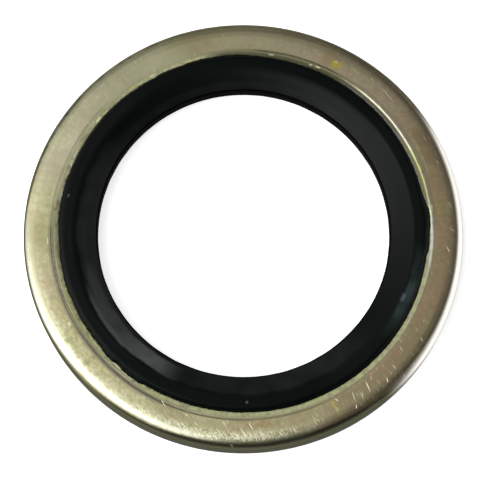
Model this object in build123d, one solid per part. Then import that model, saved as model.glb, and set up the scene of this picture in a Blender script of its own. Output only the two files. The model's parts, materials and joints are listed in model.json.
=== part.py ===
from build123d import *
import os

# Bonded sealing washer for an M14 screw: a stamped steel ring with a rubber bead moulded
# into its bore. Millimetres, +Z up, turned about Z, lying on its lower bead crest at Z = 0.
# Sections are drawn as (radius, height above the middle plane) and then revolved.

# steel ring
ring_diameter = 22.0
ring_thickness = 1.5
bond_diameter = 18.4            # steel bore that the rubber is bonded to
bevel_diameter = 18.8           # where each flat face breaks into its inner bevel
bevel_depth = 0.05
roll_face_radius = 0.70         # the punch draws the upper outer edge down: a slow bend
roll_face_turn = 40             # by so many degrees, and then a tighter one
roll_edge_radius = 0.50
die_edge_break = 0.06           # the lower outer edge is only tumbled

# rubber bead
bore_diameter = 14.7
bead_proud = 0.2                # each crest above its steel face
crest_outer_diameter = 18.12
crest_inner_diameter = 16.8     # where the crest breaks into the sealing slope
crest_shoulder_round = 0.14
lip_thickness = 0.8             # at the bore, before its corners are rounded
lip_round = 0.12

half_ring = ring_thickness / 2
half_bead = half_ring + bead_proud
bond_half_height = half_ring - bevel_depth


def turned(outline):
    """Close an outline, turn it about Z and stand the washer on its lower crest."""
    section = Plane.XZ * make_face(outline)
    return Pos(Z=half_bead) * revolve(section, axis=Axis.Z)


def make_steel_ring():
    """Stamped ring: a die roll outside on top, and a bevel at the bore on both faces."""
    wall = ring_diameter / 2
    edge_turn = 90 - roll_face_turn
    slow_bend = JernArc((0, half_ring), (1, 0), roll_face_radius, -roll_face_turn)
    tight_bend = JernArc(slow_bend @ 1, slow_bend % 1, roll_edge_radius, -edge_turn)
    roll_width = (tight_bend @ 1).X
    die_roll = Pos(X=wall - roll_width) * Curve([slow_bend, tight_bend])
    rest = Polyline(
        die_roll @ 1,
        (wall, die_edge_break - half_ring),
        (wall - die_edge_break, -half_ring),
        (bevel_diameter / 2, -half_ring),
        (bond_diameter / 2, -bond_half_height),
        (bond_diameter / 2, bond_half_height),
        (bevel_diameter / 2, half_ring),
        die_roll @ 0,
    )
    return turned([*die_roll.edges(), rest])


def make_rubber_seal():
    """Moulded bead: a crest beside each steel face, sloping down to a thin rounded lip."""
    upper_half = FilletPolyline(
        (bore_diameter / 2, 0),
        (bore_diameter / 2, lip_thickness / 2),
        (crest_inner_diameter / 2, half_bead),
        (crest_outer_diameter / 2, half_bead),
        (bond_diameter / 2, bond_half_height),
        radius=[lip_round, 0, crest_shoulder_round],
    )
    lower_half = mirror(upper_half, about=Plane.XZ)
    bond_line = Line(upper_half @ 1, lower_half @ 1)
    return turned([upper_half, bond_line, lower_half])


os.makedirs("parts", exist_ok=True)
for name, solid in {"steel_ring": make_steel_ring(), "rubber_seal": make_rubber_seal()}.items():
    export_step(solid, f"parts/{name}.step")
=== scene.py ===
import json
import math
import bpy
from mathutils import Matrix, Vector, noise


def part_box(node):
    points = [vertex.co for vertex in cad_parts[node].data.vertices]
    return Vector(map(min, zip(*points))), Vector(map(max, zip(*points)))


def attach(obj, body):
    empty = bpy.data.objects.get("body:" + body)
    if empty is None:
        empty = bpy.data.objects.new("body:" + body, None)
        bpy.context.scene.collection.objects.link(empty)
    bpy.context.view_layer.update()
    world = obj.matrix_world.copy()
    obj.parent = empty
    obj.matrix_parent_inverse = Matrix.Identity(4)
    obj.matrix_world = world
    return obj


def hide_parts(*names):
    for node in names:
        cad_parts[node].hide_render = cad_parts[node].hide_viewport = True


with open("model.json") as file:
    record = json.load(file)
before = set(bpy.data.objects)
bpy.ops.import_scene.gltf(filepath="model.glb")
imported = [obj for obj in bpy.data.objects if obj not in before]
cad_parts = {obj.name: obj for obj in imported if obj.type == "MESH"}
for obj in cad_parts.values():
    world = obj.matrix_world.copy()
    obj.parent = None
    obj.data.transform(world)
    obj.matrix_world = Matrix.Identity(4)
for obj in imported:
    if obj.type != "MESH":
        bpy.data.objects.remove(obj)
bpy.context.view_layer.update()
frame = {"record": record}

# sizes are in millimetres, and turn into metres where a mesh, the floor or the camera is made
mm = 0.001
ringLow, ringHigh = [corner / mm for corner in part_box("steel_ring")]
sealLow, sealHigh = [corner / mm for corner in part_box("rubber_seal")]
boreMount = next(mount for mount in frame["record"]["mounts"] if mount["name"] == "bore")

ringRadius = min(ringHigh.x, -ringLow.x)
bondRadius = sealHigh.x  # the rubber is bonded to the steel here
boreRadius = boreMount["dims"]["r_mm"]
boreLand = boreMount["dims"]["length_mm"]
middle = (sealLow.z + sealHigh.z) / 2
print("frame loaded")


def linearColour(hexCode):
    channels = [int(hexCode[i:i + 2], 16) / 255 for i in (1, 3, 5)]
    return [c / 12.92 if c < 0.04045 else ((c + 0.055) / 1.055) ** 2.4 for c in channels] + [1]


def addNode(tree, kind, settings=None, links=None):
    # settings go to the node's own properties or, by name or number, to its sockets. A link comes from
    # a socket, or from the first one of a node
    node = tree.nodes.new("ShaderNode" + kind)
    for key, value in (settings or {}).items():
        if isinstance(key, str) and hasattr(node, key):
            setattr(node, key, value)
        else:
            node.inputs[key].default_value = value
    for key, source in (links or {}).items():
        socket = source.outputs[0] if isinstance(source, bpy.types.Node) else source
        tree.links.new(socket, node.inputs[key])
    return node


def calculate(tree, operation, *values):
    # the values are numbers, or nodes and sockets to link from
    numbers = {i: value for i, value in enumerate(values) if isinstance(value, (int, float))}
    links = {i: value for i, value in enumerate(values) if i not in numbers}
    return addNode(tree, "Math", {"operation": operation, **numbers}, links)


def remap(tree, value, start, end, low=0, high=1, soft=False, clamp=True):
    # low where the value is start and high where it is end, with no corner at either if soft
    curve = "SMOOTHSTEP" if soft else "LINEAR"
    return addNode(tree, "MapRange",
                   {"interpolation_type": curve, "clamp": clamp, "From Min": start, "From Max": end,
                    "To Min": low, "To Max": high},
                   {"Value": value})


def pattern(tree, place, size, detail, **settings):
    # noise whose patches are that size
    return addNode(tree, "TexNoise", {"Scale": 1 / size, "Detail": detail, **settings}, {"Vector": place})


def cover(tree, colour, hexCode, share):
    # the colour, covered by another to that share
    mixed = addNode(tree, "Mix", {"data_type": "RGBA", 7: linearColour(hexCode)}, {0: share, 6: colour})
    return mixed.outputs[2]


def newMaterial(name):
    material = bpy.data.materials.new(name)
    material.use_nodes = True
    material.node_tree.nodes.clear()
    return material, material.node_tree


def steps(start, end, count):
    return [start + (end - start) * i / (count - 1) for i in range(count)]


def bend(first, corner, last, count):
    # a smooth turn from first to last that is tangent to both lines through corner
    points = []
    for t in steps(0, 1, count):
        shares = ((first, (1 - t) ** 2), (corner, 2 * t * (1 - t)), (last, t ** 2))
        points.append(tuple(sum(point[i] * share for point, share in shares) for i in (0, 1)))
    return points


def smooth(share):
    # from 0 to 1 with no corner at either end
    share = min(max(share, 0), 1)
    return share * share * (3 - 2 * share)


def wander(angle, detail, seed):
    # a smooth random number between -1 and 1 that joins up round the ring
    return noise.noise(Vector((math.cos(angle) * detail, math.sin(angle) * detail, seed)))


def waver(angle, waves, seed=0):
    # the sum of some wanderings, each given as its size, its detail and its own seed
    return sum(size * wander(angle, detail, seed + own) for size, detail, own in waves)


def stretch(angle, start, end, soft):
    # 1 from start to end, in degrees, fading to 0 over soft degrees beyond each
    centre = (start + end) / 2
    away = abs((math.degrees(angle) - centre + 180) % 360 - 180) - (end - start) / 2
    return smooth(1 - away / soft)


def runsAt(angle, runs):
    # the sum of what some stretches add, each given as its start, end and fade in degrees and its size
    return sum(size * stretch(angle, start, end, soft) for start, end, soft, size in runs)


def turnedMesh(name, sectionAt, segments):
    # sectionAt gives (radius, height) points counter-clockwise, the same number at each angle
    angles = [2 * math.pi * i / segments for i in range(segments)]
    sections = [sectionAt(angle) for angle in angles]
    count = len(sections[0])
    points = []
    for angle, section in zip(angles, sections):
        points += [(r * math.cos(angle) * mm, r * math.sin(angle) * mm, z * mm) for r, z in section]
    faces = []
    for i in range(segments):
        here = i * count
        ahead = (i + 1) % segments * count
        for j in range(count):
            k = (j + 1) % count
            faces.append((here + j, ahead + j, ahead + k, here + k))
    mesh = bpy.data.meshes.new(name)
    mesh.from_pydata(points, [], faces)
    mesh.shade_smooth()
    piece = bpy.data.objects.new(name, mesh)
    bpy.context.scene.collection.objects.link(piece)
    return piece


# steel ring: blanked from sheet, so its upper outer edge is drawn down in a slow bend and a
# tighter one. The rubber mould presses a narrow band lower beside the bead, on both faces, and its
# rim leaves a shallow crease a little further out. What ends in Waves is for waver, and what ends in
# Runs for runsAt.
steelRing = {
    "segments": 960,
    "wallPoints": 9,  # points of the section that lie on the cut wall
    "faceStart": 9.7,
    "underRubber": 0.03,  # how far the steel runs on below the rubber's edge
    "stepRadius": 9.38,  # where the pressed band ends
    "stepRadiusWaves": [(0.018, 9, 24)],
    "stepWidth": 0.06,
    "stepDepth": 0.026,
    "stepShare": 0.12,  # of the depth, and more where the mould pressed hard
    "stepRuns": [(-6, 50, 10, 0.85)],
    "stepPressure": 0.8,
    "stepWaves": [(0.5, 5, 27), (0.5, 22, 28)],
    "leastPressure": 0.2,
    "bandTilt": 0.06,  # the pressed band still falls a little towards the bore, mm per mm
    "creaseRadius": 9.54,
    "creaseRadiusWaves": [(0.012, 2, 20)],
    "creaseRadiusRuns": [(170, 222, 22, 0.03)],  # the rim sat further out here
    "creaseHalfWidth": 0.06,
    "creaseDepth": 0.005,
    "creaseMean": 0.75,  # of the depth
    "creaseWaves": [(0.5, 5, 22)],
    "creaseShare": 0.35,  # of the depth on the upper side, and more over one stretch
    "creaseRuns": [(140, 300, 25, 0.65)],
    "slowBend": 0.70,
    "slowTurn": 40,
    "tightBend": 0.50,
    "rollWaves": [(0.04, 1.5, 30), (0.03, 14, 31)],
    "rollRuns": [(225, 262, 20, 0.08), (165, 195, 25, -0.06)],
    "dieEdgeBreak": 0.06,
    "dieEdgeWaves": [(0.3, 20, 50)],
    "faceWave": 0.005,
    "faceWaveLength": 2.5,
    "faceSeed": 40,
    "leanStart": 9.89,  # from here the face leans more and more, until the roll takes over
    "lean": 0.051,  # mm per mm, where the roll starts
    "fractureShare": 0.4,  # the lower part of the wall tore instead of being cut
    "fractureWaves": [(0.08, 6, 52)],
    "fractureStep": 0.015,
    "fractureFade": 0.12,
    "tornAcross": 60,  # how fine the torn part is, round the ring and up the wall
    "tornUp": 4,
}

# thin rubber flash on the band: its edge is uneven, most so over two stretches, and on the upper side
# it runs wide or short over a few more
flash = {
    "seed": 3.1,
    "waves": [(0.02, 4, 0), (0.022, 34, 5)],
    "ragged": 0.4,
    "raggedRuns": [(105, 160, 15, 0.6), (200, 258, 12, 1)],
    "raggedWaves": [(0.03, 75, 7), (0.02, 160, 9)],
    "upperRuns": [
        (354, 366, 2.5, 0.09),
        (3, 8, 4, 0.05),
        (15, 82, 8, -0.05),
        (94, 104, 6, 0.03),
        (166, 176, 6, 0.04),
        (196, 200, 3, 0.04),
        (222, 226, 1.5, 0.08),
        (230, 237, 1.5, 0.08),
    ],
}


def flashEdge(angle, side):
    # radius where the rubber ends on the steel; side is 1 on top and -1 below
    seed = flash["seed"] + side
    ragged = flash["ragged"] + runsAt(angle, flash["raggedRuns"])
    radius = bondRadius + waver(angle, flash["waves"], seed)
    radius += ragged * waver(angle, flash["raggedWaves"], seed)
    if side > 0:
        radius += runsAt(angle, flash["upperRuns"])
    return radius


def steelDrop(angle, radius, side):
    # how far the steel lies inside its face plane near the bore: the crease and then the pressed band
    form = steelRing
    creaseRadius = form["creaseRadius"] + waver(angle, form["creaseRadiusWaves"], side)
    creaseRadius += runsAt(angle, form["creaseRadiusRuns"])
    across = (radius - creaseRadius) / form["creaseHalfWidth"]
    crease = math.cos(across * math.pi / 2) ** 2 if abs(across) < 1 else 0
    crease *= form["creaseDepth"] * (form["creaseMean"] + waver(angle, form["creaseWaves"], side))
    if side > 0:
        crease *= form["creaseShare"] + runsAt(angle, form["creaseRuns"])
    stepRadius = form["stepRadius"] + waver(angle, form["stepRadiusWaves"], side)
    inside = stepRadius + form["stepWidth"] / 2 - radius
    pressure = max(form["stepPressure"] + waver(angle, form["stepWaves"], side), form["leastPressure"])
    step = form["stepDepth"] * smooth(inside / form["stepWidth"])
    step *= form["stepShare"] + runsAt(angle, form["stepRuns"]) * pressure
    return crease + step + form["bandTilt"] * max(inside, 0)


def ringSection(angle):
    # the last number of each call of steps and bend is how many points it makes
    form = steelRing
    top = ringHigh.z
    bottom = ringLow.z
    turn = math.radians(form["slowTurn"])
    lean = math.asin(form["lean"])
    slow = form["slowBend"]
    tight = form["tightBend"]
    rollWidth = slow * (math.sin(turn) - form["lean"]) + tight * (1 - math.sin(turn))
    rollScale = 1 + waver(angle, form["rollWaves"]) + runsAt(angle, form["rollRuns"])
    rollStart = ringRadius - rollWidth * rollScale
    tightDrop = slow * (math.cos(lean) - math.cos(turn)) + tight * math.cos(turn)

    def wave(radius):
        reach = radius / form["faceWaveLength"]
        spot = Vector((math.cos(angle) * reach, math.sin(angle) * reach, form["faceSeed"]))
        outward = max(radius - form["leanStart"], 0)
        fall = form["lean"] * outward ** 2 / (2 * (rollStart - form["leanStart"]))
        return form["faceWave"] * noise.noise(spot) - fall

    # down the upper side from the wall to the bore
    rollTop = top + wave(rollStart)
    roll = [(tight * (math.sin(t) - 1), tight * math.cos(t) - tightDrop) for t in steps(math.pi / 2, turn, 9)]
    roll += [(slow * (math.sin(t) - form["lean"]) - rollWidth, slow * (math.cos(t) - math.cos(lean)))
             for t in steps(turn, lean, 12)[1:]]
    points = [(ringRadius + across * rollScale, rollTop + down * rollScale) for across, down in roll]
    points += [(radius, top + wave(radius)) for radius in steps(rollStart, form["faceStart"], 16)[1:]]
    stepTop = form["stepRadius"] + form["stepWidth"]
    stepFoot = form["stepRadius"] - form["stepWidth"]
    for radius in steps(form["faceStart"], stepTop, 15)[1:]:
        points.append((radius, top + wave(radius) - steelDrop(angle, radius, 1)))
    innerEnd = flashEdge(angle, 1) - form["underRubber"]
    bandRadii = steps(stepTop, max(stepFoot, innerEnd + 0.01), 10)[1:]
    bandRadii += steps(bandRadii[-1], innerEnd, 5)[1:]
    points += [(radius, top - steelDrop(angle, radius, 1)) for radius in bandRadii]

    # out along the lower side, then up the wall
    lowerTop = form["stepRadius"] + 0.1
    lowerRadii = steps(flashEdge(angle, -1) - form["underRubber"], lowerTop, 9)
    lowerRadii += steps(lowerTop, form["faceStart"], 11)[1:]
    points += [(radius, bottom + steelDrop(angle, radius, -1)) for radius in lowerRadii]
    edge = form["dieEdgeBreak"] * (1 + waver(angle, form["dieEdgeWaves"]))
    points += [(radius, bottom) for radius in steps(form["faceStart"], ringRadius - edge, 7)[1:]]
    wallFoot = (ringRadius, bottom + edge)
    points += bend(points[-1], (ringRadius, bottom), wallFoot, 4)[1:]
    wallTop = points[0][1]
    fractureTop = bottom + (wallTop - bottom) * (form["fractureShare"] + waver(angle, form["fractureWaves"]))
    for height in steps(wallFoot[1], wallTop, 10)[1:-1]:
        torn = min(max((fractureTop - height) / form["fractureFade"], 0), 1)
        spot = (math.cos(angle) * form["tornAcross"], math.sin(angle) * form["tornAcross"])
        rough = 0.5 + 0.5 * noise.noise(Vector(spot + (height * form["tornUp"],)))
        points.append((ringRadius - form["fractureStep"] * torn * rough, height))
    return points


ringCount = len(ringSection(0))
ring = turnedMesh("zinc_plated_ring", ringSection, steelRing["segments"])
print("steel ring made", len(ring.data.polygons), "faces")


# rubber bead: moulded in one shot round the bore of the ring. Each side has a flat crest beside the
# steel, a slope down to the hole and a thin lip.
rubberBead = {
    "segments": 900,
    "crestOuter": 9.06,
    "crestInner": 8.4,
    "crestWaves": [(0.012, 3, 60)],
    "crestShift": 0.05,  # the crest's inner edge lies off the axis by this much, towards this angle
    "crestShiftAngle": math.radians(10),
    "crestSoft": 0.07,  # half length of the bend there, and longer over one stretch
    "crestSoftRuns": [(110, 205, 40, 0.22)],
    "shoulder": 0.14,
    "flashDepth": 0.003,  # the flash starts this far below the steel's face
    "shoulderFoot": 0.02,  # it thickens over this length, by this height, into the shoulder
    "shoulderRise": 0.018,
    "lipThickness": 0.8,
    "lipRound": 0.108,  # length of the slope that the lip's rounding takes
    "slopeBulge": 0.035,
    "slopeBulgeRise": 0.3,  # the smaller, the more suddenly it bulges below the crest
    "slopeWaves": [(0.006, 8, 64)],
    "outOfRound": 0.035,
    "boreShift": 0.02,
    "boreShiftAngle": 1,
    "boreWaves": [(0.01, 12, 62)],
    "trimmedPoints": 5,  # points of each half section that the trimming cut takes in
}


def beadHalf(angle, side):
    # (radius, height above the middle) from the steel to the bore; side is 1 on top and -1 below. The
    # last number of each call of steps and bend is how many points it makes
    form = rubberBead
    crest = sealHigh.z - middle
    edge = flashEdge(angle, side)
    steelHeight = ringHigh.z - middle - steelDrop(angle, edge, side)
    foot = (edge - form["shoulderFoot"], steelHeight + form["shoulderRise"])
    shoulderEnd = (form["crestOuter"] - form["shoulder"], crest)
    points = [(edge, steelHeight - form["flashDepth"])]
    points += bend(foot, (form["crestOuter"], crest), shoulderEnd, 11)

    soft = form["crestSoft"] + runsAt(angle, form["crestSoftRuns"])
    breakRadius = form["crestInner"] + form["crestShift"] * math.cos(angle - form["crestShiftAngle"])
    breakRadius += waver(angle, form["crestWaves"], side)
    lipTop = form["lipThickness"] / 2
    bore = boreRadius - form["outOfRound"] * math.cos(2 * angle)
    bore += form["boreShift"] * math.cos(angle - form["boreShiftAngle"]) + waver(angle, form["boreWaves"])
    run = breakRadius - bore
    fall = crest - lipTop
    slope = math.hypot(run, fall)
    along = soft / slope
    breakEnd = (breakRadius - run * along, crest - fall * along)
    points += [(radius, crest) for radius in steps(shoulderEnd[0], breakRadius + soft, 6)[1:]]
    points += bend(points[-1], (breakRadius, crest), breakEnd, 9)[1:]
    lipAlong = 1 - form["lipRound"] / slope
    for share in steps(along, lipAlong, 16)[1:]:
        inside = (share - along) / (lipAlong - along)
        bulge = form["slopeBulge"] * 4 * inside * (1 - inside) + waver(angle, form["slopeWaves"], side)
        points.append((breakRadius - run * share,
                       crest - fall * share + bulge * inside ** form["slopeBulgeRise"]))
    points += bend(points[-1], (bore, lipTop), (bore, boreLand / 2), 6)[1:]
    return points


def beadSection(angle):
    upper = [(radius, middle + height) for radius, height in beadHalf(angle, 1)]
    lower = [(radius, middle - height) for radius, height in beadHalf(angle, -1)]
    return upper + lower[::-1]


beadCount = len(beadSection(0))
seal = turnedMesh("moulded_rubber_bead", beadSection, rubberBead["segments"])
print("rubber bead made", len(seal.data.polygons), "faces")


# nearly all values of a noise lie between these two
noiseLow = 0.35
noiseHigh = 0.65


def placeInMm(tree, upright=1):
    # where a point of the piece is, in mm, with its height multiplied by upright
    coords = addNode(tree, "TexCoord")
    scale = (1 / mm, 1 / mm, upright / mm)
    return addNode(tree, "Mapping", {"Scale": scale}, {"Vector": coords.outputs["Object"]})


def ringPlace(tree, place):
    # the direction from the axis, and the distance from it
    axes = addNode(tree, "SeparateXYZ", None, {0: place})
    flat = addNode(tree, "CombineXYZ", None, {0: axes.outputs["X"], 1: axes.outputs["Y"]})
    side = addNode(tree, "VectorMath", {"operation": "NORMALIZE"}, {0: flat})
    radius = addNode(tree, "VectorMath", {"operation": "LENGTH"}, {0: flat})
    return side.outputs[0], radius.outputs["Value"]


def blurredPlace(tree, place, size, reach):
    # places pushed about by noise, so that what is painted by them has an uneven outline
    wobble = pattern(tree, place, size, 3)
    push = addNode(tree, "VectorMath", {"operation": "SUBTRACT", 1: (0.5, 0.5, 0.5)},
                   {0: wobble.outputs["Color"]})
    return addNode(tree, "VectorMath", {"operation": "MULTIPLY_ADD", 1: (2 * reach,) * 3},
                   {0: push, 2: place})


def upperOnly(tree, place, radius):
    # the same radius on the upper side, and far outside every placed mark on the lower side
    axes = addNode(tree, "SeparateXYZ", None, {0: place})
    below = calculate(tree, "LESS_THAN", axes.outputs["Z"], middle)
    return calculate(tree, "MULTIPLY_ADD", below, 10 * ringRadius, radius)


def fade(tree, start, end, full, value):
    # from 0 at the start to full at the end. The node's own clamp is off, because a material with this
    # many patches rendered black with it on
    return remap(tree, value, start, end, 0, full, soft=True, clamp=False)


def ringPatch(tree, side, radius, form):
    # 1 over a stretch of the ring, fading to 0 round it. form is its middle, half length and fade in
    # degrees, then its inner radius, outer radius and fade in mm
    angle, half, spread, inner, outer, soft = form
    turn = math.radians(angle)
    facing = addNode(tree, "VectorMath",
                     {"operation": "DOT_PRODUCT", 1: (math.cos(turn), math.sin(turn), 0)}, {0: side})
    along = fade(tree, math.cos(math.radians(half + spread)), math.cos(math.radians(half)), 1,
                 facing.outputs["Value"])
    away = calculate(tree, "SUBTRACT", radius, (inner + outer) / 2)
    away = calculate(tree, "ABSOLUTE", away)
    width = (outer - inner) / 2
    across = fade(tree, width + soft, width, 1, away)
    return calculate(tree, "MULTIPLY", along, across)


def paintPatches(tree, colour, side, radius, noiseValue, patches):
    # each patch is its form, colour, strength and how far the noise breaks it up
    uneven = remap(tree, noiseValue, noiseLow, noiseHigh, -1)
    for form, tint, strength, broken in patches:
        patch = ringPatch(tree, side, radius, form)
        amount = calculate(tree, "MULTIPLY_ADD", uneven, strength * broken, strength)
        amount = calculate(tree, "MULTIPLY", amount, patch)
        colour = cover(tree, colour, tint, amount)
    return colour


def scratchField(tree, place, form, share):
    # short straight scratches, one to a cell at most, from 0 to 1. form gives the angle that they run
    # at, in degrees below +X, and sizes in mm. share is the part of the cells that has one
    turned = addNode(tree, "Mapping",
                     {"vector_type": "TEXTURE", "Rotation": (0, 0, math.radians(-form["turn"])),
                      "Scale": (form["cellLength"], form["cellWidth"], 1)},
                     {"Vector": place})
    cells = addNode(tree, "TexVoronoi", {"voronoi_dimensions": "2D", "Scale": 1, "Randomness": 0.8},
                    {"Vector": turned})
    across = addNode(tree, "VectorMath", {"operation": "SUBTRACT"},
                     {0: turned, 1: cells.outputs["Position"]})
    across = addNode(tree, "VectorMath",
                     {"operation": "MULTIPLY",
                      1: (2 * form["cellLength"] / form["length"], 2 * form["cellWidth"] / form["width"], 0)},
                     {0: across})
    away = addNode(tree, "VectorMath", {"operation": "LENGTH"}, {0: across})
    mark = fade(tree, 1, 0.2, 1, away.outputs["Value"])
    chance = addNode(tree, "SeparateColor", None, {0: cells.outputs["Color"]})
    chosen = calculate(tree, "LESS_THAN", chance, share)
    mark = calculate(tree, "MULTIPLY", mark, chosen)
    strong = calculate(tree, "POWER", chance.outputs[1], 1.6)  # so more of them are faint
    return calculate(tree, "MULTIPLY", mark, strong)


# zinc-plated mild steel with a faded yellow passivate, blanked and then tumbled: a satin, slightly
# uneven metal, warm grey-beige, with short scratches where it was handled
plating = {
    "light": "#c3bf9b",
    "dark": "#aba67e",
    "brown": "#a08e70",  # browner passivate towards +X, with painted shade darkening that side
    "brownShadeFrom": (-6, 11),  # along X, where it starts and where it is full
    "warm": "#ae9679",
    "green": "#a7ab78",
    "tintShare": 0.5,  # the most that the warm or the green covers
    "band": "#a2a584",  # pressed clean beside the rubber
    "bandEnd": (9.52, 9.44),  # the radius where it starts and where it is full
    "bandShare": 0.6,
    "shadedEdge": "#4a4b3c",  # painted shade: the outer rolled edge darkened as a painted dark reflection
    "shadedEdgeFrom": (10.72, 10.84),
    "shadedEdgeShare": 0.95,
    # tones of the cut wall: dull metal, darkened further as painted shade
    "shearAndShadeTones": ("#38392d", "#5c5d4b"),
    "shearRoughness": 0.5,
    "dragStretch": 0.15,  # the drag marks are this wide for a length of 1
    "brushedSheen": "#e2e6c8",  # painted sheen: the brightest of the brushed haze
    "brushedSheenShare": 0.8,
    "brushedSheenFrom": -0.45,  # of the haze, which runs from -1 to 1
    "scratch": "#faf2d8",
    "scratchShare": 0.75,
    "scratchEnd": (10.75, 10.6),  # no scratches on the wall
    "speckle": 0.08,  # flecks are this much lighter or darker
    "streaks": (0.03, 0.4),  # the same for the radial streaks, in most places and where strong
    "rubbed": 0.22,  # and for the haze where the face is rubbed
    "glancing": (0.4, 0.4, 0.4, 1),  # dull plating loses the white shine that clean metal has edge on
    "roughness": 0.40,
    "rollRoughness": 0.27,  # tumbling burnishes the rolled edge
    "rollFrom": (10.3, 10.55),
    "grainRoughness": 0.1,
    "grippedRoughness": 0.07,
    "dullRoughness": 0.1,
    "mottle": 2.2,  # mm across one patch
    "tint": 1.5,  # mm across one patch of the passivate's colour
    "streak": 0.5,  # mm round the ring
    "fleck": 0.22,  # mm
    "grain": 0.12,  # mm; the real crystals are far finer and would not show
    "grainDepth": 0.01,
    "scratchDepth": 0.008,
    "stainBlur": (0.35, 0.3),  # how large the waves of a stain's outline are, and how far they reach
}

# where it differs: middle, half length and fade in degrees, inner radius, outer radius and fade in mm
platingAreas = {
    "streaky": (165, 30, 30, 9.6, 11, 0.2),
    "rubbed": (228, 22, 20, 9.75, 10.2, 0.2),
    "brushedSheen": (260, 10, 26, 10.28, 10.44, 0.28),
    "gripped": (281, 22, 32, 9.75, 10.9, 0.3),  # where tools held the washer
    "worn": (224, 15, 14, 9.78, 10.15, 0.15),
    "dull": (112, 40, 20, 10.3, 11.2, 0.15),
}
bothSides = ("streaky", "dull")  # the other areas are on the upper side alone

# noise over the plating, of the sizes above: detail and roughness
platingPatterns = [("mottle", 4, 0.55), ("tint", 3, 0.6), ("fleck", 1, 0.5), ("grain", 2, 0.5)]

# handling scratches: sizes in mm, and degrees below +X that they run
longScratch = {"turn": 63, "length": 0.8, "width": 0.055, "cellLength": 1.0, "cellWidth": 0.2}
shortScratch = {"turn": 55, "length": 0.4, "width": 0.055, "cellLength": 0.45, "cellWidth": 0.11}
wornScratch = {"turn": 42, "length": 0.38, "width": 0.07, "cellLength": 0.4, "cellWidth": 0.12}
singleWidth = 0.05  # mm from the middle of a single scratch to where it fades out
singleReach = 0.6  # of its length, the same along it

# each kind with the area where it is common, its share of the cells outside and inside, and how strong
scratchKinds = [
    (longScratch, "gripped", 0, 0.2, 1),
    (shortScratch, "gripped", 0.06, 0.6, 0.5),
    (wornScratch, "worn", 0, 0.7, 0.4),
]
haze = {"turn": 58, "length": 0.26, "width": 0.12}  # scratches too fine to see one by one
raggedHaze = 0.05  # mm that the haze shifts the edge of the painted shade by
notchedHaze = 0.6  # how deep it is cut, beside a scratch

# the painted shade on the rolled edge starts further out or in over these stretches: form, then mm inwards
shadeEdgeShifts = [
    ((200, 16, 22, 10.3, 11.2, 0.1), -0.08),
    ((278, 14, 22, 10.3, 11.2, 0.1), 0.12),
    ((100, 45, 18, 10.3, 11.2, 0.1), 0.07),
]

# single scratches: angle and radius of one end, then of the other, and how bright
singleScratches = [
    (271.3, 9.7, 272.6, 10.05, 1),
    (252.8, 9.68, 254, 9.78, 0.8),
    (283.2, 10.1, 284.2, 10.5, 0.7),
    (297.4, 9.58, 298.1, 9.8, 1),
    (266.5, 10.72, 267.3, 10.86, 1),
    (262, 10, 263.6, 10.28, 0.5),
    (269, 10.35, 270.3, 10.62, 0.7),
    (274.3, 10.15, 276.5, 10.5, 0.6),
    (255.5, 9.9, 257.5, 10.1, 0.6),
    (290, 10.1, 291, 10.35, 0.6),
    (301.2, 10.56, 301.9, 10.34, 1),
    (302, 10.25, 303, 9.65, 0.6),
    (304, 10.4, 305.3, 9.95, 0.5),
    (306.9, 10.28, 307.9, 9.62, 1),
    (309.2, 9.82, 310.1, 9.64, 0.6),
    (312.2, 10.46, 313.1, 10.2, 1),
    (316.4, 10.26, 316.7, 9.93, 0.6),
    (316.8, 10.86, 317.1, 10.7, 1),
    (321, 10.82, 321.2, 10.71, 1),
    (321.3, 9.96, 322.4, 9.64, 0.5),
    (327, 10.46, 327.9, 10.22, 0.6),
    (332, 10.02, 332.7, 9.97, 0.6),
    (353.3, 10.3, 355.1, 10.08, 0.8),
    (359.2, 10.52, 360.6, 10.2, 0.6),
    (5.5, 10.5, 8.2, 10.3, 0.5),
    (41, 10.1, 47, 10.2, 0.4),
]
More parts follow.
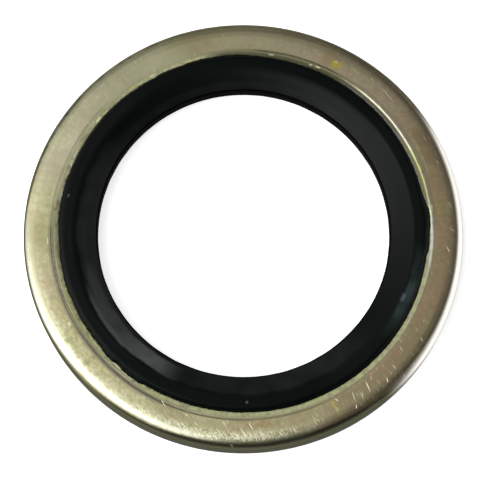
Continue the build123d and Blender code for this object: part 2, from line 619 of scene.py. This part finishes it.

# marks and painted light with clean outlines: form as in platingAreas, colour, strength and how broken up it
# is
ringMarksAndLight = [
    ((255, 30, 20, 9.51, 9.56, 0.06), "#4b483e", 0.5, 0.1),  # painted shade in and beside the crease
    ((212, 28, 14, 9.49, 9.6, 0.07), "#57504c", 0.7, 0.15),
    ((212, 28, 14, 9.66, 9.7, 0.08), "#6f6858", 0.4, 0.2),
    ((160, 14, 16, 9.50, 9.58, 0.07), "#6b6656", 0.35, 0.3),
    ((29, 23, 5, 9.52, 9.60, 0.04), "#7c727f", 0.35, 0.3),
    ((258, 6, 8, 9.52, 9.57, 0.05), "#4b483e", 0.35, 0.2),
    ((78, 18, 9, 8.9, 9.2, 0.42), "#45442f", 0.9, 0.05),  # bonding agent that crept out
    ((76, 17, 9, 8.9, 9.06, 0.14), "#11110e", 0.8, 0.05),
    ((73, 11, 5, 9.44, 9.48, 0.05), "#3d3c28", 0.6, 0.15),
    ((31, 24, 5, 8.9, 9.29, 0.04), "#66636a", 0.6, 0.15),  # greyer beside the rubber
    # film on the pressed band
    ((46, 8, 8, 9.2, 9.3, 0.06), "#4c4a42", 0.55, 0.15),
    ((192, 16, 8, 8.9, 9.26, 0.09), "#3a3826", 0.5, 0.2),
    ((138, 10, 8, 8.9, 9.25, 0.08), "#45422c", 0.35, 0.2),
    ((288, 2.5, 5, 8.9, 9.25, 0.08), "#35342a", 0.55, 0.2),
    ((294, 10, 8, 10.78, 10.84, 0.05), "#6d6e58", 0.6, 0.2),  # the painted shade along the rim, less dark here
    ((57, 2, 4, 9.37, 9.44, 0.05), "#7d7a5e", 0.7, 0.2),  # a stain on the band
    ((290, 60, 25, 9.27, 9.38, 0.07), "#dfe0c0", 0.15, 0.6),  # band rubbed clean
    # painted highlight: the bevel's bright line, made whiter
    ((37, 9, 6, 9.37, 9.42, 0.05), "#e6e5d6", 0.4, 0.1),
    # band rubbed clean
    ((357, 7, 5, 9.32, 9.45, 0.05), "#c4c9bb", 0.75, 0.3),
    ((332, 14, 8, 9.22, 9.4, 0.06), "#aaa78e", 0.55, 0.3),
    ((24, 5, 3, 9.735, 9.755, 0.03), "#cdb99c", 0.4, 0.2),  # a line outside the crease
    ((353, 28, 16, 10.72, 11.2, 0.12), "#f0ece2", 1, 0),  # painted highlights on the rim and rolled edge
    ((207, 8, 10, 10.74, 10.79, 0.06), "#eeedf0", 0.4, 0),
    ((230, 24, 22, 10.52, 10.6, 0.14), "#f0eee0", 0.5, 0.3),
    ((234, 24, 24, 10.42, 10.5, 0.3), "#dcdcbc", 0.45, 0.9),
    ((83, 20, 22, 10.33, 10.44, 0.22), "#7b755a", 0.4, 0.1),  # painted shade on the rolled edge, dimming its reflection
    ((310, 22, 22, 10.38, 10.48, 0.18), "#686149", 0.45, 0.2),
    ((275, 8, 8, 10.55, 10.66, 0.15), "#868468", 0.9, 0.1),
    ((194, 7, 14, 10.45, 10.6, 0.09), "#a29f80", 0.7, 0.2),
    ((191, 10, 10, 10.68, 10.85, 0.08), "#a9a99c", 0.6, 0.1),
    ((15, 42, 20, 10.48, 10.56, 0.08), "#cdc4a6", 0.45, 0.1),  # a lighter line along the roll
    ((66, 0.2, 0.8, 9.32, 9.35, 0.04), "#dfe0b8", 0.8, 0.2),  # bare metal in the film
    ((68.4, 0.1, 0.5, 9.29, 9.33, 0.04), "#d6d6c0", 0.8, 0.1),
    ((81.2, 0.2, 0.9, 9.30, 9.33, 0.04), "#d9dac2", 0.75, 0.2),
    ((132, 26, 8, 9.27, 9.33, 0.07), "#e0dda6", 0.2, 1),  # bright flecks on the band
    ((220, 20, 10, 9.24, 9.3, 0.06), "#c6ca7c", 0.35, 1),
    ((292, 50, 12, 9.26, 9.36, 0.08), "#bcc48c", 0.4, 1),
    ((61.8, 0.1, 0.5, 9.96, 10.04, 0.06), "#dad4a0", 0.7, 0.2),  # small bare spots
    ((107, 0.5, 1, 9.18, 9.22, 0.04), "#b9bd4a", 0.7, 0.1),
    ((120, 0.1, 0.6, 9.28, 9.34, 0.05), "#dad9ae", 0.7, 0.1),
    ((126.5, 0.3, 1, 9.27, 9.31, 0.04), "#c9c65e", 0.7, 0.1),
    ((139, 0.6, 1, 9.27, 9.31, 0.04), "#c4c26a", 0.6, 0.1),
    ((142, 0.5, 1, 9.28, 9.34, 0.05), "#e6e5b4", 0.9, 0.1),
    ((155, 0.8, 1, 9.31, 9.36, 0.05), "#dadac4", 0.7, 0.1),
    ((168.5, 0.6, 1, 9.71, 9.73, 0.04), "#cfcf8a", 0.6, 0.2),
    ((183.5, 0.4, 0.6, 9.74, 9.76, 0.04), "#e2ddc0", 0.7, 0.2),
    ((209.3, 0.3, 0.5, 9.8, 9.84, 0.06), "#e6dfb4", 0.7, 0.2),
    ((228, 1, 1.2, 9.26, 9.28, 0.04), "#e4e0c0", 0.8, 0.1),
]

# the same for stains, whose outlines are blurred
platingStains = [
    ((104, 18, 25, 9.5, 10.9, 0.3), "#8d8a68", 0.35, 0.2),  # thicker or thinner passivate
    ((228, 20, 22, 9.6, 9.95, 0.25), "#a39d75", 0.35, 0.3),
    ((140, 18, 16, 9.6, 10.6, 0.3), "#bebbaa", 0.3, 0.1),
    ((208, 3, 4, 9.8, 9.92, 0.12), "#a08f5c", 0.4, 1),
    ((227, 5, 4, 9.75, 9.88, 0.15), "#a59a58", 0.4, 1),
    ((64, 16, 20, 9.7, 10.4, 0.3), "#b5ae98", 0.3, 0.4),
    ((313, 12, 10, 9.7, 10.55, 0.2), "#8b7f64", 0.4, 0.3),
    ((200, 35, 35, 8.9, 9.22, 0.14), "#5d5836", 0.6, 0.3),  # film beside the rubber
    ((172.5, 1.2, 1.5, 9.25, 9.45, 0.15), "#7b6650", 0.6, 0.3),
    ((275, 2, 3, 9.75, 9.85, 0.2), "#a08256", 0.45, 0.4),  # thick passivate
    ((63.5, 1.2, 2.5, 9.75, 10.2, 0.25), "#8d7448", 0.35, 0.3),  # brown and yellow spots of passivate
    ((25, 2.5, 5, 9.9, 10.3, 0.2), "#74654a", 0.35, 0.3),
    ((61.3, 0.5, 1.6, 9.75, 9.98, 0.2), "#c0b04e", 0.75, 0.4),
    ((62.7, 0.1, 0.6, 10.43, 10.47, 0.1), "#c9c48b", 0.8, 0.4),
    ((6.5, 1.2, 1.4, 9.71, 9.76, 0.07), "#b7a93c", 0.7, 0.3),
    ((296.8, 0.1, 0.5, 9.7, 10.4, 0.12), "#c9c75a", 0.3, 0.9),
    ((6, 1, 1.4, 9.36, 9.44, 0.06), "#d9e392", 0.9, 0.1),
    ((20, 6, 4, 9.30, 9.40, 0.05), "#a9b068", 0.7, 0.3),
    ((331, 7, 5, 10.67, 10.70, 0.05), "#a9ad3c", 0.6, 0.4),
    ((222, 14, 10, 9.65, 10.0, 0.2), "#dcd7ab", 0.25, 1),
]


def flatPoint(degrees, radius):
    angle = math.radians(degrees)
    return Vector((math.cos(angle), math.sin(angle))) * radius


def singleMarks(tree, place):
    # the listed scratches, from 0 to 1
    marks = None
    for startAngle, startRadius, endAngle, endRadius, bright in singleScratches:
        start = flatPoint(startAngle, startRadius)
        end = flatPoint(endAngle, endRadius)
        along = end - start
        centre = (start + end) / 2
        inside = addNode(tree, "Mapping",
                         {"vector_type": "TEXTURE", "Location": (centre.x, centre.y, ringHigh.z),
                          "Rotation": (0, 0, math.atan2(along.y, along.x)),
                          "Scale": (singleReach * along.length, singleWidth, 1)},
                         {"Vector": place})
        away = addNode(tree, "VectorMath", {"operation": "LENGTH"}, {0: inside})
        mark = fade(tree, 1, 0.2, bright, away.outputs["Value"])
        if marks:
            mark = calculate(tree, "MAXIMUM", marks, mark)
        marks = mark
    return marks


def platedSteel():
    material, tree = newMaterial("zinc plated steel, tumbled")
    place = placeInMm(tree)
    axes = addNode(tree, "SeparateXYZ", None, {0: place})
    side, radius = ringPlace(tree, place)
    upperRadius = upperOnly(tree, place, radius)
    stainSide, stainRadius = ringPlace(tree, blurredPlace(tree, place, *plating["stainBlur"]))
    stainRadius = upperOnly(tree, place, stainRadius)

    areas = {}
    for name, form in platingAreas.items():
        areas[name] = ringPatch(tree, side, radius if name in bothSides else upperRadius, form)
    patterns = {name: pattern(tree, place, plating[name], detail, Roughness=roughness)
                for name, detail, roughness in platingPatterns}
    streak = pattern(tree, side, plating["streak"] / ringRadius, 2)
    hazePlace = addNode(tree, "Mapping",
                        {"vector_type": "TEXTURE", "Rotation": (0, 0, math.radians(-haze["turn"])),
                         "Scale": (haze["length"], haze["width"], 1)},
                        {"Vector": place})
    hazeNoise = pattern(tree, hazePlace, 1, 4, Roughness=0.7, Distortion=0.7)
    hazeDepth = remap(tree, hazeNoise, noiseLow, noiseHigh, -1)

    # light and dark patches of plating, then a browner +X side that is partly painted shade, warm and green
    # patches, and the pressed band
    tone = remap(tree, patterns["mottle"], noiseLow, noiseHigh)
    brownAndShade = remap(tree, axes.outputs["X"], *plating["brownShadeFrom"], soft=True)
    warmth = remap(tree, patterns["tint"], 0.5, 0.7, 0, plating["tintShare"])
    greenness = remap(tree, patterns["tint"], 0.5, 0.3, 0, plating["tintShare"])
    band = remap(tree, radius, *plating["bandEnd"], 0, plating["bandShare"])
    colour = addNode(tree, "RGB")
    colour.outputs[0].default_value = linearColour(plating["dark"])
    for name, share in (("light", tone), ("brown", brownAndShade), ("warm", warmth), ("green", greenness),
                        ("band", band)):
        colour = cover(tree, colour, plating[name], share)

    # radial streaks, flecks and the rubbed area make it lighter and darker
    streakDepth = remap(tree, areas["streaky"], 0, 1, *plating["streaks"])
    shade = calculate(tree, "SUBTRACT", streak, 0.5)
    shade = calculate(tree, "MULTIPLY_ADD", shade, streakDepth, 1)
    speckle = remap(tree, patterns["fleck"], 0.3, 0.7, 1 - plating["speckle"], 1 + plating["speckle"])
    shade = calculate(tree, "MULTIPLY", shade, speckle)
    rubbed = calculate(tree, "MULTIPLY", hazeDepth, areas["rubbed"])
    rubbed = calculate(tree, "MULTIPLY_ADD", rubbed, plating["rubbed"], 1)
    for amount in (shade, rubbed):
        colour = addNode(tree, "VectorMath", {"operation": "SCALE"}, {0: colour, "Scale": amount})

    # the painted shade on the outer edge, which the brushed haze makes ragged, then the stains and the marks
    hazy = calculate(tree, "MULTIPLY", hazeDepth, areas["brushedSheen"])
    edgeDepth = calculate(tree, "MULTIPLY_ADD", hazy, raggedHaze, radius)
    for form, shift in shadeEdgeShifts:
        patch = ringPatch(tree, side, radius, form)
        edgeDepth = calculate(tree, "MULTIPLY_ADD", patch, shift, edgeDepth)
    wall = remap(tree, edgeDepth, *plating["shadedEdgeFrom"], 0, plating["shadedEdgeShare"], soft=True)
    colour = cover(tree, colour, plating["shadedEdge"], wall)
    colour = paintPatches(tree, colour, stainSide, stainRadius, patterns["fleck"], platingStains)
    colour = paintPatches(tree, colour, side, upperRadius, patterns["fleck"], ringMarksAndLight)

    # scratches: most where the washer was gripped or worn, few elsewhere, and none on the wall
    marks = None
    for form, area, least, most, strength in scratchKinds:
        share = remap(tree, areas[area], 0, 1, least, most)
        field = calculate(tree, "MULTIPLY", scratchField(tree, place, form, share), strength)
        if marks:
            field = calculate(tree, "MAXIMUM", marks, field)
        marks = field
    notWall = remap(tree, radius, *plating["scratchEnd"])
    marks = calculate(tree, "MULTIPLY", marks, notWall)
    marks = calculate(tree, "MAXIMUM", singleMarks(tree, place), marks)
    # the haze of the brushed area is lightened as a painted sheen
    brushSheen = remap(tree, hazy, plating["brushedSheenFrom"], 1, 0, plating["brushedSheenShare"])
    for limit in (areas["brushedSheen"], notWall):
        brushSheen = calculate(tree, "MULTIPLY", brushSheen, limit)
    bright = calculate(tree, "MULTIPLY", marks, plating["scratchShare"])
    for name, share in (("brushedSheen", brushSheen), ("scratch", bright)):
        colour = cover(tree, colour, plating[name], share)

    # satin on the face, brighter on the rolled edge, duller where it was gripped or handled
    rough = remap(tree, radius, *plating["rollFrom"], plating["roughness"], plating["rollRoughness"])
    for where, added in ((patterns["grain"], "grainRoughness"), (areas["gripped"], "grippedRoughness"),
                         (areas["dull"], "dullRoughness")):
        rough = calculate(tree, "MULTIPLY_ADD", where, plating[added], rough)
    cut = calculate(tree, "MULTIPLY_ADD", hazy, notchedHaze, marks)
    bump = addNode(tree, "Bump", {"Strength": 0.3, "Distance": plating["grainDepth"] * mm},
                   {"Height": patterns["grain"]})
    bump = addNode(tree, "Bump", {"Strength": 1, "Distance": plating["scratchDepth"] * mm, "invert": True},
                   {"Height": cut, "Normal": bump})
    shader = addNode(tree, "BsdfPrincipled", {"Metallic": 1, "Specular Tint": plating["glancing"]},
                     {"Base Color": colour, "Roughness": rough, "Normal": bump})
    addNode(tree, "OutputMaterial", None, {"Surface": shader})
    return material


def cutSurface(name, upright, size, tones, strength, depth, finish):
    # a surface that a tool cut: fine noise between two tones, which is its bump as well
    material, tree = newMaterial(name)
    cut = pattern(tree, placeInMm(tree, upright), size, 3)
    dark, light = [linearColour(tone) for tone in tones]
    colour = addNode(tree, "Mix", {"data_type": "RGBA", 6: dark, 7: light}, {0: cut})
    bump = addNode(tree, "Bump", {"Strength": strength, "Distance": depth * mm}, {"Height": cut})
    shader = addNode(tree, "BsdfPrincipled", finish, {"Base Color": colour.outputs[2], "Normal": bump})
    addNode(tree, "OutputMaterial", None, {"Surface": shader})
    return material


def shearedSteelAndShade():
    # the wall that the blanking tool cut: dull, with fine upright drag marks, and dark tones that are partly
    # painted shade
    return cutSurface("zinc plated steel, sheared and shaded", plating["dragStretch"], plating["grain"],
                      plating["shearAndShadeTones"], 0.5, plating["grainDepth"],
                      {"Metallic": 1, "Specular Tint": plating["glancing"],
                       "Roughness": plating["shearRoughness"]})


# nitrile rubber, compression moulded: deep black with a dull satin skin, greyed in places by the
# bloom that such rubber sweats out, and by painted sheen on the slope
rubber = {
    "colour": "#040a07",
    "roughness": 0.38,
    "specular": 0.1,
    "refraction": 1.52,
    "mattLoss": 0.45,  # share of the shine that is lost where the skin is dull
    "skin": 0.15,  # mm; the mould's own finish, drawn coarser than it is
    "skinDepth": 0.01,
    "smear": 0.9,  # mm across one patch of bloom and painted sheen
    "smearBlur": (1.5, 0.16),
    "trimTones": ("#010101", "#050505"),
    "trimDepth": 0.02,
    "trimRoughness": 0.9,
    "trimSpecular": 0.02,
}

# where the skin is duller: form as in platingAreas, and how dull it is
mattPatches = [
    ((264, 26, 18, 8.45, 9.1, 0.15), 1),
    ((85, 35, 20, 8.4, 9.1, 0.15), 1),
    ((183, 38, 16, 8.7, 9.3, 0.15), 0.6),
    ((166, 22, 14, 8.1, 8.3, 0.12), 0.9),
]

# painted sheen, bloom and dust: form, colour, strength and how broken up it is
sheenBloomAndDust = [
    ((224, 9, 17, 7.68, 8.27, 0.17), "#5c5f5c", 0.85, 0.2),  # painted sheen on the slope, with some bloom
    ((208, 6, 13, 7.68, 7.98, 0.2), "#4a4d4a", 0.8, 0.2),
    ((190, 20, 30, 7.5, 8.1, 0.3), "#2b2e2d", 0.6, 0.3),
    ((120, 60, 30, 7.42, 7.7, 0.2), "#1c201e", 0.5, 0.3),
    ((280, 20, 25, 7.5, 8.2, 0.25), "#232826", 0.5, 0.3),
    # a smudge on the crest
    ((338, 7, 11, 8.65, 8.98, 0.18), "#222b29", 0.7, 0.3),
    ((335.5, 2, 6, 8.65, 8.95, 0.12), "#334140", 0.5, 0.4),
    ((335.8, 0.2, 1.7, 8.56, 8.62, 0.13), "#66767c", 0.4, 0.3),  # dust on the crest
    ((271, 0.15, 0.4, 8.7, 8.73, 0.08), "#8f9894", 0.35, 0),  # specks of dust
    ((169, 0.3, 0.4, 8.83, 8.87, 0.06), "#7d8786", 0.25, 0),
]


def mouldedRubber():
    material, tree = newMaterial("nitrile rubber, moulded")
    place = placeInMm(tree)
    side, radius = ringPlace(tree, blurredPlace(tree, place, *rubber["smearBlur"]))
    radius = upperOnly(tree, place, radius)
    smear = pattern(tree, place, rubber["smear"], 4)
    skin = pattern(tree, place, rubber["skin"], 3)
    colour = addNode(tree, "RGB")
    colour.outputs[0].default_value = linearColour(rubber["colour"])
    colour = paintPatches(tree, colour, side, radius, smear, sheenBloomAndDust)
    shine = 1
    for form, dullness in mattPatches:
        patch = ringPatch(tree, side, radius, form)
        shine = calculate(tree, "MULTIPLY_ADD", patch, -dullness * rubber["mattLoss"], shine)
    bump = addNode(tree, "Bump", {"Strength": 0.2, "Distance": rubber["skinDepth"] * mm}, {"Height": skin})
    shader = addNode(tree, "BsdfPrincipled",
                     {"Roughness": rubber["roughness"], "Specular IOR Level": rubber["specular"],
                      "IOR": rubber["refraction"]},
                     {"Base Color": colour, "Specular Tint": shine, "Normal": bump})
    addNode(tree, "OutputMaterial", None, {"Surface": shader})
    return material


def trimmedRubber():
    # the flash at the bore is cut away, and the cut is dead matt
    return cutSurface("nitrile rubber, trimmed", 1, rubber["skin"], rubber["trimTones"], 0.4,
                      rubber["trimDepth"],
                      {"Roughness": rubber["trimRoughness"], "Specular IOR Level": rubber["trimSpecular"],
                       "IOR": rubber["refraction"]})


ring.data.materials.append(platedSteel())
ring.data.materials.append(shearedSteelAndShade())
for i, face in enumerate(ring.data.polygons):
    if i % ringCount >= ringCount - steelRing["wallPoints"]:
        face.material_index = 1
seal.data.materials.append(mouldedRubber())
seal.data.materials.append(trimmedRubber())
half = beadCount // 2
for i, face in enumerate(seal.data.polygons):
    if abs(i % beadCount - half + 0.5) < rubberBead["trimmedPoints"]:
        face.material_index = 1
for piece, node, slotName in ((ring, "steel_ring", "zinc_plated_steel"),
                              (seal, "rubber_seal", "nitrile_rubber")):
    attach(piece, "root")
    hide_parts(node)
print("materials made")


# studio: a white table in a dim room, with a big window at the left whose lower edge slants, and a
# reflector at the right
studio = {
    "floorSize": 1400,
    "floorColour": "#f0f0f0",
    "floorLift": 0.75,  # the table's own white, which the shadow darkens a little
    # how bright the walls are at the front and at the back, and the ceiling at the right and at the
    # left, with the part of the direction's Y, Z or X over which each changes
    "walls": (0.02, 0.18),
    "wallsAlongY": (-0.8, 0.4),
    "ceilingAboveZ": (0.85, 0.98),
    "ceiling": (0.18, 1.6),
    "ceilingAlongX": (0, -0.23),
}

# a light is its radiance and its soft edges. An edge is a direction, as azimuth from +X and
# elevation in degrees, and how far along it the light starts and is full
roomLights = {
    "window": {
        "radiance": 4.5,
        "edges": [((116, 40), 0.05, 0.25), ((258, 0), -0.63, 0.66), ((170, 0), 0, 0.1),
                  ((0, 90), 1.07, 0.93)],
    },
    "reflector": {"radiance": 2, "edges": [((1, -8), 0.68, 1)]},
    "lit corner": {"radiance": 0.22, "edges": [((142, 42), 0.6, 0.95)]},
}


def makeFloor():
    half = studio["floorSize"] / 2 * mm
    mesh = bpy.data.meshes.new("floor")
    corners = [(-half, -half, 0), (half, -half, 0), (half, half, 0), (-half, half, 0)]
    mesh.from_pydata(corners, [], [(0, 1, 2, 3)])
    floor = bpy.data.objects.new("floor", mesh)
    bpy.context.scene.collection.objects.link(floor)
    floor.location.z = sealLow.z * mm
    material, tree = newMaterial("white table")
    path = addNode(tree, "LightPath")
    seen = path.outputs["Is Camera Ray"]
    for ray in ("Is Glossy Ray", "Is Transmission Ray"):
        seen = calculate(tree, "MAXIMUM", seen, path.outputs[ray])
    lift = calculate(tree, "MULTIPLY", seen, studio["floorLift"])
    paint = addNode(tree, "BsdfDiffuse", {"Color": linearColour(studio["floorColour"])})
    glow = addNode(tree, "Emission", None, {"Strength": lift})
    both = addNode(tree, "AddShader", None, {0: paint, 1: glow})
    addNode(tree, "OutputMaterial", None, {"Surface": both})
    mesh.materials.append(material)


def makeWorld():
    world = bpy.data.worlds.new("studio")
    world.use_nodes = True
    bpy.context.scene.world = world
    tree = world.node_tree
    tree.nodes.clear()
    coords = addNode(tree, "TexCoord")
    direction = coords.outputs["Generated"]
    axes = addNode(tree, "SeparateXYZ", None, {0: direction})
    wall = remap(tree, axes.outputs["Y"], *studio["wallsAlongY"], *studio["walls"], soft=True)
    upward = remap(tree, axes.outputs["Z"], *studio["ceilingAboveZ"], soft=True)
    ceiling = remap(tree, axes.outputs["X"], *studio["ceilingAlongX"], *studio["ceiling"])
    total = addNode(tree, "Mix", {"data_type": "FLOAT"}, {0: upward, 2: wall, 3: ceiling})
    for form in roomLights.values():
        light = None
        for (azimuth, elevation), start, full in form["edges"]:
            rise = math.radians(elevation)
            towards = flatPoint(azimuth, math.cos(rise)).to_3d()
            towards.z = math.sin(rise)
            along = addNode(tree, "VectorMath", {"operation": "DOT_PRODUCT", 1: towards}, {0: direction})
            edge = remap(tree, along.outputs["Value"], start, full, soft=True)
            if light:
                edge = calculate(tree, "MULTIPLY", light, edge)
            light = edge
        total = calculate(tree, "MULTIPLY_ADD", light, form["radiance"], total)
    glow = addNode(tree, "Background", None, {"Strength": total})
    addNode(tree, "OutputWorld", None, {"Surface": glow})


# camera: nearly overhead. The washer's centre lies a little right of and above the picture's
view = {
    "imageSize": 480,
    "sensor": 36,
    "elevation": 75.72,  # degrees
    "distance": 90.4,
    "pixelsPerMm": 19.93,  # at the washer
    "centrePixel": (243.41, 232.98),
}


def makeCamera():
    elevation = math.radians(view["elevation"])
    back = Vector((0, -math.cos(elevation), math.sin(elevation)))
    up = Vector((0, math.sin(elevation), math.cos(elevation)))
    right = Vector((1, 0, 0))
    half = view["imageSize"] / 2
    aside = (half - view["centrePixel"][0]) / view["pixelsPerMm"]
    above = (view["centrePixel"][1] - half) / view["pixelsPerMm"]
    target = Vector((0, 0, middle)) + right * aside + up * above
    cameraData = bpy.data.cameras.new("camera")
    cameraData.sensor_width = view["sensor"]
    cameraData.lens = view["pixelsPerMm"] * view["distance"] * view["sensor"] / view["imageSize"]
    cameraData.clip_start = 1 * mm
    cameraData.clip_end = 3000 * mm
    camera = bpy.data.objects.new("camera", cameraData)
    bpy.context.scene.collection.objects.link(camera)
    camera.location = (target + back * view["distance"]) * mm
    camera.rotation_mode = "QUATERNION"
    camera.rotation_quaternion = back.to_track_quat("Z", "Y")
    bpy.context.scene.camera = camera


makeFloor()
makeWorld()
makeCamera()
bpy.context.scene.view_settings.view_transform = "Standard"
print("studio made")
